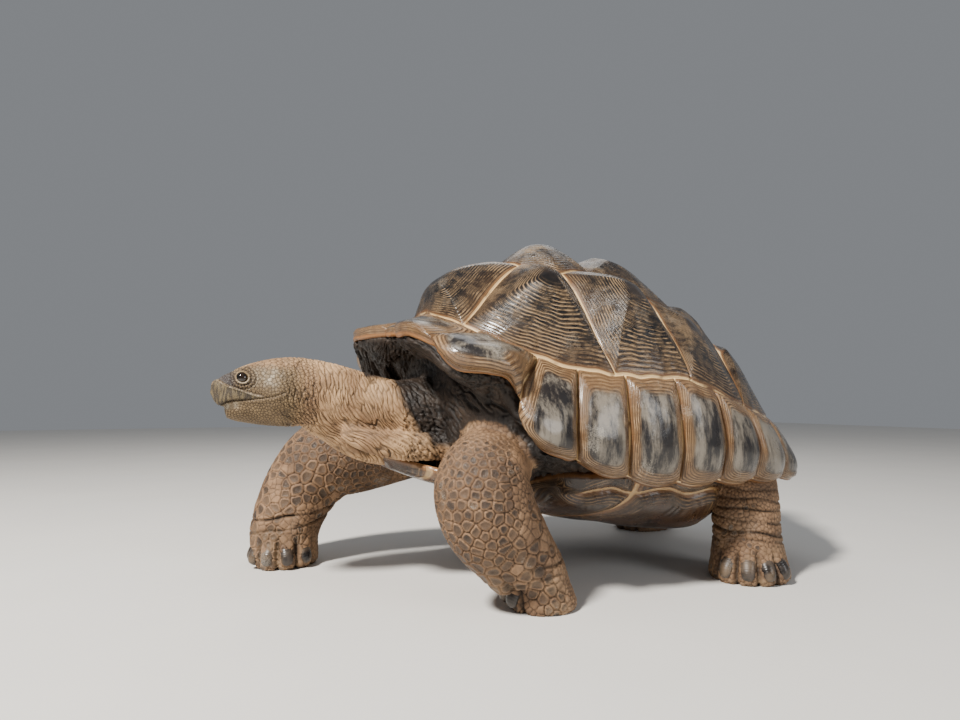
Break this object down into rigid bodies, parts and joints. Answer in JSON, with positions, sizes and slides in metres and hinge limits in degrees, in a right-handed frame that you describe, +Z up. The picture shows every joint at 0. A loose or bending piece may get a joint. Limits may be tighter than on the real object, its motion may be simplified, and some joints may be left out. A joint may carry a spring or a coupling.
{
  "type": "giant tortoise",
  "caption": "Still, life-size giant tortoise walking on all fours, with a high domed shell of raised horn plates and an outstretched wrinkled neck.",
  "frame": {"origin": "middle of the bottom of the whole animal's box, on the floor under the shell", "axes": "+Z up, head towards -Y, the animal's left side towards +X"},
  "size_m": [0.7718, 1.4148, 0.7629],
  "materials": {
    "carapace_horn": "worn dark horn with tan growth rings, satin",
    "plastron_horn": "amber and brown horn, satin",
    "skin": "dry scaly skin, matt",
    "claw": "dark worn horn",
    "eye": "wet and glossy"
  },
  "bodies": {
    "root": {"carapace": "carapace_horn", "plastron": "plastron_horn", "torso": "skin", "neck": "skin", "head": "skin", "eye_left": "eye", "eye_right": "eye", "leg_front_left": "skin", "leg_front_right": "skin", "leg_hind_left": "skin", "leg_hind_right": "skin", "tail": "skin"}
  },
  "joints": []
}
